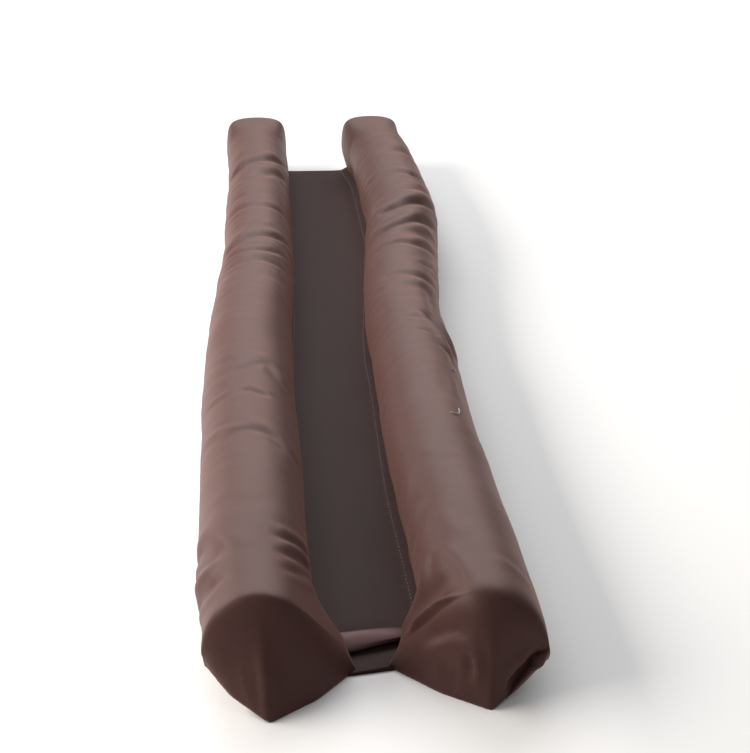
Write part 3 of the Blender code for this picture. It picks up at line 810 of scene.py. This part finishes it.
def crease_height(sleeve, along, degrees, strength):
    """How far the creases raise the cloth on a grid of places; a trough is below 0."""
    raised = np.zeros((len(along), len(degrees)))
    for crease in sleeve.creases:
        path = curve_through(crease.path, 6 * len(crease.path)) * (ARC, 1.0)
        reach = 4.0 * crease.breadth
        rows = (along > path[:, 1].min() - reach) & (along < path[:, 1].max() + reach)
        if not rows.any():
            continue
        points = np.stack(np.meshgrid(degrees * ARC, along[rows]), axis=-1)
        offset, share, run = nearest(path, points)
        farther = np.sign(run[..., 0] * offset[..., 1] - run[..., 1] * offset[..., 0])
        flip = 1.0 if crease.path[-1][0] > crease.path[0][0] else -1.0
        u = np.linalg.norm(offset, axis=-1) / crease.breadth
        bell = np.exp(-0.5 * u * u)
        shape = crease.step * u * farther * flip * bell - crease.depth * (1.0 - u * u) * bell
        shape -= crease.pinch * np.exp(-2.6 * u)
        fade = smooth(0.0, FADE, share) * smooth(0.0, FADE, 1.0 - share)
        raised[rows] += shape * fade
    return raised * strength


def grain_height(sleeve, along, degrees, settings):
    """How far the uneven stuffing and the fine wrinkles raise the cloth on a grid of places."""
    table = np.array(sleeve.grain)
    lumps = np.interp(along, table[:, 0], table[:, 1]) * settings.lump
    wrinkles = np.interp(along, table[:, 0], table[:, 2]) * settings.wrinkle
    found = np.zeros((len(along), len(degrees)))
    angles = np.radians(degrees)
    sines, cosines = np.sin(angles), np.cos(angles)
    for row, place in enumerate(along):
        for column in range(len(degrees)):
            x, z = sines[column], cosines[column]
            lump = noise.noise(Vector((0.9 * x + sleeve.seed, LUMP_RATE * place, 0.9 * z)))
            slant = SLANT[0] * x + SLANT[1] * z
            fold = noise.noise(Vector((0.8 * x, WRINKLE_RATE * (place + slant), 0.8 * z + sleeve.seed)))
            counter = Vector((1.3 * x, COUNTER_RATE * (place - slant), 1.3 * z - sleeve.seed))
            fold -= 0.5 * abs(noise.noise(counter))
            found[row, column] = lump * lumps[row] + fold * wrinkles[row]
    return found


def body_points(sleeve, along, degrees, settings):
    """Points of a sleeve between its ends on a grid of places, creases and unevenness included."""
    across, width, height = (part[:, None] for part in spine_at(sleeve.spine, along))
    inward, up = unit_section(degrees)
    raised = crease_height(sleeve, along, degrees, settings.crease)
    raised = (raised + grain_height(sleeve, along, degrees, settings)) * band(FOLDED, degrees)
    angle = np.radians(degrees)
    x = across + sleeve.inner * (inward * width / 2 + raised * np.sin(angle))
    z = np.maximum(up * height / (1 + AXIS_UP) - raised * np.cos(angle), 0.0)
    return np.stack([x, np.broadcast_to(along[:, None], x.shape), z], axis=-1)


def rim_points(sleeve, end, end_along, outward, degrees, settings):
    """The rim, where the cloth turns down over the end of the stuffing."""
    across, width, height = (float(part) for part in spine_at(sleeve.spine, end_along))
    place = np.array([end_along])
    rim = body_points(sleeve, place, degrees, settings)[0]
    start, stop = body_points(sleeve, place, np.array([TUCK_FROM, TUCK_TO]), settings)[0]
    tucked = (degrees > TUCK_FROM) & (degrees < TUCK_TO)
    share = ((degrees - TUCK_FROM) / (TUCK_TO - TUCK_FROM))[:, None]
    rim = np.where(tucked[:, None], rim + (start + (stop - start) * share - rim) * end.tuck, rim)
    if end.square:
        angle = np.radians(degrees)
        inward, up = np.sin(angle), -np.cos(angle)
        grown = (np.abs(inward) ** SQUARENESS + np.abs(up) ** SQUARENESS) ** (-1.0 / SQUARENESS)
        middle = AXIS_UP * height / (1 + AXIS_UP)
        square = np.stack([
            across + sleeve.inner * grown * inward * width / 2,
            np.full(len(degrees), end_along),
            middle + grown * up * (height - middle),
        ], axis=-1)
        rim = rim + (square - rim) * (end.square * band(SQUARED, degrees))[:, None]
    if end.corner is None:
        return rim
    inward, up = end.corner
    corner = np.array([across + sleeve.inner * inward, end_along - outward * end.setback, up])
    under = np.array([corner[0], corner[1], 0.0])
    middle = np.array([across, end_along, 0.0])
    leave = body_points(sleeve, place, np.array([end.ridge]), settings)[0, 0]
    upper = corner + (leave - corner) * np.clip((degrees - 90.0) / (end.ridge - 90.0), 0.0, 1.0)[:, None]
    lower = under + (corner - under) * np.clip((degrees - FOOT) / (90.0 - FOOT), 0.0, 1.0)[:, None]
    foot = middle + (under - middle) * np.clip(degrees / FOOT, 0.0, 1.0)[:, None]
    rim = np.where((degrees < end.ridge)[:, None], upper, rim)
    rim = np.where((degrees < 90.0)[:, None], lower, rim)
    return np.where((degrees <= FOOT)[:, None], foot, rim)


def hem_points(sleeve, end, end_along, outward, degrees):
    """The sewn hem: the upper layer from a quarter turn to three, the lower one beneath."""
    across = float(spine_at(sleeve.spine, end_along)[0])
    upper = (degrees >= 90.0 - 1e-6) & (degrees <= 270.0 + 1e-6)
    mirror = np.where(upper, degrees, (180.0 - degrees) % 360.0)
    rows = np.array(end.hem)
    places = np.linspace(90.0, 270.0, len(rows))
    inward, forward, up = (
        sum(weight * np.interp(mirror + shift, places, rows[:, k]) for shift, weight in HEM_SOFTENING)
        for k in range(3)
    )
    return np.stack([
        across + sleeve.inner * inward,
        end_along + outward * forward,
        up + HEM * upper,
    ], axis=-1)


def end_rings(sleeve, end, end_along, outward, degrees, settings):
    """Rings over which a sleeve takes up the form of its rim and turns down to its hem, outwards."""
    rim = rim_points(sleeve, end, end_along, outward, degrees, settings)
    if end.corner is not None:
        corner = np.exp(-0.5 * ((degrees - end.ridge) / CORNER_REACH) ** 2)[:, None]
        rim = rim + (evened(rim[None], degrees)[0] - rim) * corner
    hem = hem_points(sleeve, end, end_along, outward, degrees)
    start = end_along - outward * end.blend
    shares = np.arange(1, round(end.blend / BLEND_STEP)) * BLEND_STEP / end.blend
    plain = body_points(sleeve, start + (end_along - start) * shares, degrees, settings)
    t = shares[:, None, None]
    blended = plain + (rim - plain) * smooth(0.0, 1.0, t)
    blended[..., 1] = start + (rim[:, 1] - start) * shares[:, None]
    turned = rim + (0.0, outward * end.edge, 0.0)
    t = ((np.arange(END_RINGS + 1) / END_RINGS) ** RIM_CROWDING)[:, None, None]
    face = rim * (1 - t) ** 2 + turned * 2 * t * (1 - t) + hem * t * t
    weight = band(FACE_EVENED, t)
    around = band(TURNED, degrees)
    if end.corner is not None:
        weight = np.maximum(weight, corner * band(CORNER_EVENED, t))
    rings = np.vstack([blended, face + (evened(face, degrees) - face) * weight * around[:, None]])
    if end.corner is not None:
        around = around * smooth(end.ridge + RIDGE_KEPT[0], end.ridge + RIDGE_KEPT[1], degrees)
    return rings + (rounded(rings, len(blended), end.rounding) - rings) * around[:, None]


def rounded(rings, rim, reach):
    """Rings averaged along the sleeve near its rim, so that the cloth turns down in a soft curve."""
    steps = np.linalg.norm(np.diff(rings[:, AROUND // 2], axis=0), axis=1)
    run = np.concatenate([[0.0], np.cumsum(steps)])
    spread = np.gradient(run)
    weights = np.exp(-0.5 * ((run[:, None] - run) / reach) ** 2) * spread
    weights /= weights.sum(axis=1, keepdims=True)
    near = np.exp(-0.5 * ((run - run[rim]) / (2.5 * reach)) ** 2)[:, None, None]
    return rings + (np.einsum("ij,jkl->ikl", weights, rings) - rings) * near


def evened(rings, degrees):
    """Rings averaged over their neighbouring points so that corners go and round forms stay."""
    apart = (degrees[:, None] - degrees + 180.0) % 360.0 - 180.0
    weights = np.exp(-0.5 * (apart / EVENED) ** 2)
    weights /= weights.sum(axis=1, keepdims=True)
    weights = 2.0 * weights - weights @ weights
    return np.einsum("ij,rjk->rik", weights, rings)


def stations(sleeve):
    """Where the sections stand along a sleeve between its ends."""
    start, stop = NEAR_END + sleeve.near.blend, FAR_END - sleeve.far.blend
    places = [start]
    while places[-1] < stop:
        step = [zone.step for zone in sleeve.zones if zone.start <= places[-1] + 1e-9][-1]
        places.append(places[-1] + step)
    places[-1] = stop
    return np.array(places)


def sleeve_points(sleeve, settings):
    """All points of a sleeve, ring by ring from its near hem to its far hem."""
    degrees = np.arange(AROUND) * 360.0 / AROUND
    near = end_rings(sleeve, sleeve.near, NEAR_END, -1, degrees, settings)
    far = end_rings(sleeve, sleeve.far, FAR_END, 1, degrees, settings)
    body = body_points(sleeve, stations(sleeve), degrees, settings)
    return dented(sleeve, np.vstack([near[::-1], body, far]), degrees)


def dented(sleeve, rings, degrees):
    """The rings with the dents and ridges of the near end pressed in along the cloth's normal."""
    rows = int((rings[:, :, 1].max(axis=1) < DENTS_END).sum())
    part = rings[:rows + 1]
    normal = np.cross(np.gradient(part, axis=1), np.gradient(part, axis=0))
    normal /= np.maximum(np.linalg.norm(normal, axis=-1, keepdims=True), 1e-12)
    if normal[-1, AROUND // 2, 2] < 0:
        normal = -normal
    raised = np.zeros(part.shape[:2])
    for dent in sleeve.dents:
        path = curve_through(dent.path, 6 * len(dent.path))
        offset, share, _ = nearest(path, part)
        u = np.linalg.norm(offset, axis=-1) / dent.breadth
        fade = smooth(0.0, FADE, share) * smooth(0.0, FADE, 1.0 - share)
        raised -= dent.depth * (1.0 - 0.5 * u * u) * np.exp(-0.5 * u * u) * fade
    out = rings.copy()
    out[:rows + 1] = part + normal * (raised * band(DENTED, degrees))[..., None]
    out[..., 2] = np.maximum(out[..., 2], 0.0)
    return out


def add_piece(name, points, faces, corners, material, flip=False):
    """A mesh object, shaded smooth, with the place of each face corner on the cloth in metres."""
    if flip:
        faces = [face[::-1] for face in faces]
        corners = [corner[::-1] for corner in corners]
    mesh = bpy.data.meshes.new(name)
    mesh.from_pydata([tuple(point) for point in points], [], faces)
    layer = mesh.uv_layers.new(name="UVMap")
    layer.data.foreach_set("uv", np.array([place for corner in corners for place in corner]).ravel())
    mesh.shade_smooth()
    mesh.materials.append(material)
    mesh.validate()
    item = bpy.data.objects.new(name, mesh)
    bpy.context.scene.collection.objects.link(item)
    return item


def make_sleeve(sleeve, material, settings):
    """One stuffed sleeve, lofted through its rings and closed at both hems."""
    rings = sleeve_points(sleeve, settings)
    count = len(rings)
    steps = np.linalg.norm(np.diff(rings[:, AROUND // 2], axis=0), axis=1)
    length = np.concatenate([[0.0], np.cumsum(steps)])
    faces, corners = [], []
    for row in range(count - 1):
        for column in range(AROUND):
            after = (column + 1) % AROUND
            here, there = row * AROUND, (row + 1) * AROUND
            faces.append((here + column, here + after, there + after, there + column))
            low, high = column * 360.0 / AROUND * ARC, (column + 1) * 360.0 / AROUND * ARC
            corners.append((
                (low, length[row]), (high, length[row]), (high, length[row + 1]), (low, length[row + 1])
            ))
    quarter = AROUND // 4
    for base, flat in ((0, length[0]), ((count - 1) * AROUND, length[-1])):
        for column in range(quarter, 3 * quarter):
            ring = [
                column, column + 1,
                (2 * quarter - column - 1) % AROUND, (2 * quarter - column) % AROUND,
            ]
            face = [base + k for k in dict.fromkeys(ring)]
            if base == 0:
                face = face[::-1]
            faces.append(tuple(face))
            corners.append(tuple((k * ARC, flat) for k in range(len(face))))
    points = rings.reshape(-1, 3)
    item = add_piece(sleeve.name, points, faces, corners, material, flip=sleeve.inner > 0)
    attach(item, BODY)
    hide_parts(sleeve.node)
    return item


def surface_tree(name):
    """The surface of a piece of this scene, ready for rays."""
    item = bpy.data.objects[name]
    points = [vertex.co for vertex in item.data.vertices]
    return BVHTree.FromPolygons(points, [face.vertices for face in item.data.polygons])


def wall(tree, along, side, height):
    """Where a sleeve's inner side stands at a height, seen from the middle of the slot."""
    hit, _, _, _ = tree.ray_cast(Vector((0.0, along, height)), Vector((side, 0.0, 0.0)))
    if hit is None:
        raise RuntimeError(f"no sleeve beside the web at {along:.3f}")
    return hit.x


def web_stations():
    """Where the web's rows stand along it, closer together at the near hem."""
    places = [WEB_NEAR]
    while places[-1] < WEB_FAR - WEB_STEP:
        places.append(places[-1] + (HEM_STEP if places[-1] < WEB_NEAR + ROLL_LENGTH else WEB_STEP))
    return places + [WEB_FAR]


def web_row(left, right, along, skew, heights, shares):
    """One row of points across the slot from sleeve to sleeve; its ends stand at their own heights."""
    low = wall(left, along, -1.0, max(float(heights[0]), LOWEST_SEAM)) - LAP
    high = wall(right, along + skew, 1.0, max(float(heights[-1]), LOWEST_SEAM)) + LAP
    return np.stack([low + (high - low) * shares, along + skew * shares, heights], axis=-1)


def web_rows():
    """Top, lip's underside, lower layer and underside of the web, each row from sleeve to sleeve."""
    left, right = surface_tree(LEFT.name), surface_tree(RIGHT.name)
    shares = np.linspace(0.0, 1.0, WEB_COLUMNS + 1)
    swing = np.cos(np.pi * shares)
    shares = 0.5 - 0.5 * swing * (1.0 - EDGE_CROWDING + EDGE_CROWDING * np.abs(swing))
    level = np.zeros(len(shares))
    tops, lips, layers, fronts, unders = [], [], [], [], []
    for along in web_stations():
        skew = HEM_SKEW * float(smooth(WEB_NEAR + 2 * ARCH_LENGTH, WEB_NEAR, along))
        back = float(smooth(WEB_NEAR + ARCH_LENGTH, WEB_NEAR, along))
        lift = ARCH_HEIGHT * back * (1.0 - ARCH_DROP * (2.0 * shares - 1.0) ** 2)
        ramp = [WEB_NEAR + share * ROLL_LENGTH for share in ROLL_RAMP]
        rolled = float(smooth(*ramp, along))
        roll = ROLL_LEFT + (ROLL_RIGHT - ROLL_LEFT) * shares
        thick = CLOTH + (roll - CLOTH) * rolled
        nose = min((along - WEB_NEAR) / ROLL_LENGTH, 1.0)
        thick = thick * (NOSE_LEAST + (1.0 - NOSE_LEAST) * math.sin(math.pi / 2 * nose))
        top = web_row(left, right, along, skew, lift + thick + RISE, shares)
        edge = np.minimum(shares, 1.0 - shares) * (top[-1, 0] - top[0, 0])
        rise = RISE * np.exp(-(edge / RISE_REACH) ** 1.5)
        wave = np.sin(along * math.tau / PUCKER_STEP + 2.0 * np.sin(31.0 * along))
        pucker = PUCKER * wave * np.exp(-edge / PUCKER_REACH)
        trough = -TROUGH * np.exp(-((edge - TROUGH_INSET) / TROUGH_WIDTH) ** 2)
        top[:, 2] = lift + thick + (rise + pucker + trough) * max(nose, 0.2)
        tops.append(top)
        apart = (along - WEB_NEAR) / FOLD
        if apart < 1.0:
            lips.append(web_row(left, right, along, skew, lift + (LAYER_TOP[0] - lift) * apart ** 2, shares))
        else:
            unders.append(web_row(left, right, along, skew, level, shares))
    places = np.linspace(WEB_NEAR + FOLD, WEB_NEAR - LAYER, LAYER_ROWS)
    for share, along in zip(np.linspace(0.0, 1.0, LAYER_ROWS), places):
        skew = HEM_SKEW * (1.0 + (LAYER_SKEW - 1.0) * share)
        height = LAYER_TOP[0] + (LAYER_TOP[1] - LAYER_TOP[0]) * share
        layers.append(web_row(left, right, along, skew, level + height, shares))
        fronts.append(web_row(left, right, along, skew, level, shares))
    return tops, lips, layers, fronts, unders


def make_web(material):
    """The strip of cloth between the sleeves, turned up along both, with its near hem in two layers."""
    tops, lips, layers, fronts, unders = web_rows()
    loop = tops[::-1] + lips + layers + fronts[::-1] + unders
    rows, columns = len(loop), WEB_COLUMNS + 1
    points = np.array(loop).reshape(-1, 3)
    faces, corners = [], []

    def add(*face):
        faces.append(face)
        corners.append(tuple((points[k][0], points[k][1]) for k in face))

    for row in range(rows):
        after = (row + 1) % rows
        for column in range(columns - 1):
            here, there = row * columns + column, after * columns + column
            add(here, there, there + 1, here + 1)
    top = [len(tops) - 1 - k for k in range(len(tops))]
    lip = [len(tops) + k for k in range(len(lips))]
    layer = [lip[-1] + 1 + k for k in range(len(layers))]
    front = [layer[-1] + len(fronts) - k for k in range(len(fronts))]
    under = [layer[-1] + len(fronts) + 1 + k for k in range(len(unders))]
    join = len(lips)
    caps = [(top[k], top[k + 1], lip[k + 1], lip[k]) for k in range(join - 1)]
    caps.append((top[join - 1], top[join], under[0], front[0], layer[0], lip[-1]))
    caps += [(layer[k], front[k], front[k + 1], layer[k + 1]) for k in range(len(layers) - 1)]
    caps += [(top[join + k], top[join + k + 1], under[k + 1], under[k]) for k in range(len(unders) - 1)]
    for cap in caps:
        add(*(row * columns for row in cap))
        add(*(row * columns + columns - 1 for row in cap[::-1]))
    item = add_piece("web_sheet", points, faces, corners, material)
    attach(item, BODY)
    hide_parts("web")
    return item


def tube(path, radius, sides=6):
    """Points and faces of a thin closed tube along a path, with drawn-in tips."""
    path = np.array(path, float)
    points, faces = [], []
    radii = np.full(len(path), radius)
    radii[0] = radii[-1] = 0.35 * radius
    for i, place in enumerate(path):
        run = Vector(path[min(i + 1, len(path) - 1)] - path[max(i - 1, 0)]).normalized()
        side = run.cross(Vector((0.0, 0.0, 1.0)))
        side = side.normalized() if side.length > 1e-6 else Vector((1.0, 0.0, 0.0))
        up = side.cross(run)
        for k in range(sides):
            turn = math.tau * k / sides
            points.append(Vector(place) + (side * math.cos(turn) + up * math.sin(turn)) * radii[i])
    for i in range(len(path) - 1):
        for k in range(sides):
            after = (k + 1) % sides
            faces.append((i * sides + k, (i + 1) * sides + k, (i + 1) * sides + after, i * sides + after))
    faces.append(tuple(range(sides)))
    faces.append(tuple((len(path) - 1) * sides + k for k in reversed(range(sides))))
    return points, faces


def add_threads(name, paths, radius, material):
    """One piece of many short threads."""
    points, faces = [], []
    for path in paths:
        more_points, more_faces = tube(path, radius)
        faces += [tuple(len(points) + k for k in face) for face in more_faces]
        points += more_points
    corners = [tuple((points[k].x, points[k].y) for k in face) for face in faces]
    return add_piece(name, points, faces, corners, material)


def stitch_paths(settings):
    """Stitches along both edges of the web, lying on its top."""
    tree = surface_tree("web_sheet")
    left, right = surface_tree(LEFT.name), surface_tree(RIGHT.name)
    paths = []
    for side, sleeve_tree in ((-1.0, left), (1.0, right)):
        along = STITCH_START
        while along < STITCH_STOP:
            path = []
            for share, sunk in STITCH_FORM:
                place = along + share * settings.stitch
                x = wall(sleeve_tree, place, side, STITCH_LEVEL) - side * STITCH_INSET
                hit, _, _, _ = tree.ray_cast(Vector((x, place, ABOVE_WEB)), Vector((0.0, 0.0, -1.0)))
                if hit is None:
                    raise RuntimeError(f"no web under the stitch at {place:.3f}")
                path.append((x, place, hit.z + settings.thread * (0.25 - 0.7 * sunk)))
            paths.append(path)
            along += settings.stitch + settings.gap
    return paths


class EXCLUDER_OT_sleeves(bpy.types.Operator):
    """Make the two stuffed sleeves with their folds"""

    bl_idname = "excluder.sleeves"
    bl_label = "Make Sleeves"

    def execute(self, context):
        scene = context.scene
        settings = scene.excluder_cloth
        material = cloth_material("brown_sleeve_cloth", settings.colour, settings.colour, 1.0, settings)
        for sleeve in (LEFT, RIGHT):
            make_sleeve(sleeve, material, scene.excluder_shape)
        return {"FINISHED"}


class EXCLUDER_OT_web(bpy.types.Operator):
    """Make the strip of cloth between the sleeves"""

    bl_idname = "excluder.web"
    bl_label = "Make Web"

    def execute(self, context):
        settings = context.scene.excluder_cloth
        # The web's colour is partly painted shade, and its raised near hem carries a painted highlight.
        make_web(cloth_material(
            "brown_web_cloth", settings.web_colour_and_painted_shade, settings.lip_highlight_colour, settings.web_shine, settings
        ))
        return {"FINISHED"}


class EXCLUDER_OT_stitching(bpy.types.Operator):
    """Sew the rows of stitches along both edges of the web"""

    bl_idname = "excluder.stitching"
    bl_label = "Sew Web"

    def execute(self, context):
        settings = context.scene.excluder_sewing
        material = thread_material("seam_thread", settings.colour)
        item = add_threads("web_stitches", stitch_paths(settings), settings.thread / 2, material)
        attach(item, BODY)
        return {"FINISHED"}


def tack_paths(settings, shape):
    """The two small tacks on the right sleeve, lying on its cloth."""
    paths = []
    for tack in TACKS:
        path = []
        count = TACK_FINENESS * len(tack)
        for place, (degrees, along) in enumerate(curve_through(tack, count)):
            found = body_points(RIGHT, np.array([along]), np.array([degrees]), shape)[0, 0]
            sunk = 1.0 if place in (0, count - 1) else -0.5
            out = RIGHT.inner * math.sin(math.radians(degrees)), 0.0, -math.cos(math.radians(degrees))
            path.append(found - np.array(out) * sunk * settings.tack / 2)
        paths.append(path)
    return paths


class EXCLUDER_OT_tacks(bpy.types.Operator):
    """Sew the two small tacks on the right sleeve"""

    bl_idname = "excluder.tacks"
    bl_label = "Sew Tacks"

    def execute(self, context):
        scene = context.scene
        settings = scene.excluder_sewing
        material = thread_material("tack_thread", settings.tack_colour)
        item = add_threads("tacks", tack_paths(settings, scene.excluder_shape), settings.tack / 2, material)
        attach(item, BODY)
        return {"FINISHED"}


class EXCLUDER_OT_stage(bpy.types.Operator):
    """Set up the floor, the light and the camera"""

    bl_idname = "excluder.stage"
    bl_label = "Set Stage"

    def execute(self, context):
        settings = context.scene.excluder_stage
        half = settings.floor_size / 2
        corners = [(-half, -half), (half, -half), (half, half), (-half, half)]
        floor = add_piece(
            "floor", [(x, y, 0.0) for x, y in corners], [(0, 1, 2, 3)], [corners],
            floor_material(settings.floor_colour),
        )
        floor.location.z = -FLOOR_DROP
        add_softbox("overhead_softbox", OVERHEAD, settings.overhead)
        add_softbox("side_softbox", SIDE, settings.side)
        set_sky(context.scene, settings.sky)
        set_camera(context.scene)
        return {"FINISHED"}


def aim(place, target):
    """The turn that points an object's front from a place to a target."""
    return (Vector(target) - Vector(place)).to_track_quat("-Z", "Y").to_euler()


def add_softbox(name, softbox, power):
    """A soft rectangular light."""
    light = bpy.data.lights.new(name, "AREA")
    light.shape = "RECTANGLE"
    light.size, light.size_y = softbox.size
    light.energy = power
    light.color = softbox.colour
    item = bpy.data.objects.new(name, light)
    item.location = softbox.place
    item.rotation_euler = aim(softbox.place, softbox.target)
    item.visible_camera = False
    bpy.context.scene.collection.objects.link(item)


def set_sky(scene, strength):
    """Even white light from all sides."""
    world = bpy.data.worlds.new("studio_sky")
    world.use_nodes = True
    background = world.node_tree.nodes["Background"]
    background.inputs["Color"].default_value = (1.0, 1.0, 1.0, 1.0)
    background.inputs["Strength"].default_value = strength
    scene.world = world
    scene.view_settings.view_transform = "Standard"


def set_camera(scene):
    """The camera in front of the near end, a little to the left and above."""
    camera = bpy.data.cameras.new("camera")
    camera.sensor_width = SENSOR
    camera.lens = FOCUS
    camera.clip_end = 60.0
    item = bpy.data.objects.new("camera", camera)
    forward = Vector((
        math.sin(CAMERA_RIGHT) * math.cos(CAMERA_DOWN),
        math.cos(CAMERA_RIGHT) * math.cos(CAMERA_DOWN),
        -math.sin(CAMERA_DOWN),
    ))
    item.location = CAMERA_PLACE
    item.rotation_euler = forward.to_track_quat("-Z", "Y").to_euler()
    scene.collection.objects.link(item)
    scene.camera = item


class EXCLUDER_PT_sidebar(bpy.types.Panel):
    """The steps that dress the draught excluder"""

    bl_label = "Draught Excluder"
    bl_idname = "EXCLUDER_PT_sidebar"
    bl_space_type = "VIEW_3D"
    bl_region_type = "UI"
    bl_category = "Excluder"

    def draw(self, context):
        for operator in OPERATORS:
            self.layout.operator(operator.bl_idname)


OPERATORS = (
    EXCLUDER_OT_sleeves, EXCLUDER_OT_web, EXCLUDER_OT_stitching, EXCLUDER_OT_tacks, EXCLUDER_OT_stage,
)
SETTINGS = {
    "excluder_cloth": ClothSettings,
    "excluder_shape": ShapeSettings,
    "excluder_sewing": SewingSettings,
    "excluder_stage": StageSettings,
}


def register():
    """Make the settings, the steps and the panel known."""
    for group in (*SETTINGS.values(), *OPERATORS, EXCLUDER_PT_sidebar):
        bpy.utils.register_class(group)
    for name, group in SETTINGS.items():
        setattr(bpy.types.Scene, name, PointerProperty(type=group))


def unregister():
    """Take them out again."""
    for name in SETTINGS:
        delattr(bpy.types.Scene, name)
    for group in (EXCLUDER_PT_sidebar, *OPERATORS, *SETTINGS.values()):
        bpy.utils.unregister_class(group)


def main():
    """Dress the frame piece by piece."""
    register()
    bpy.ops.excluder.sleeves()
    bpy.ops.excluder.web()
    bpy.ops.excluder.stitching()
    bpy.ops.excluder.tacks()
    bpy.ops.excluder.stage()


if __name__ == "__main__":
    main()
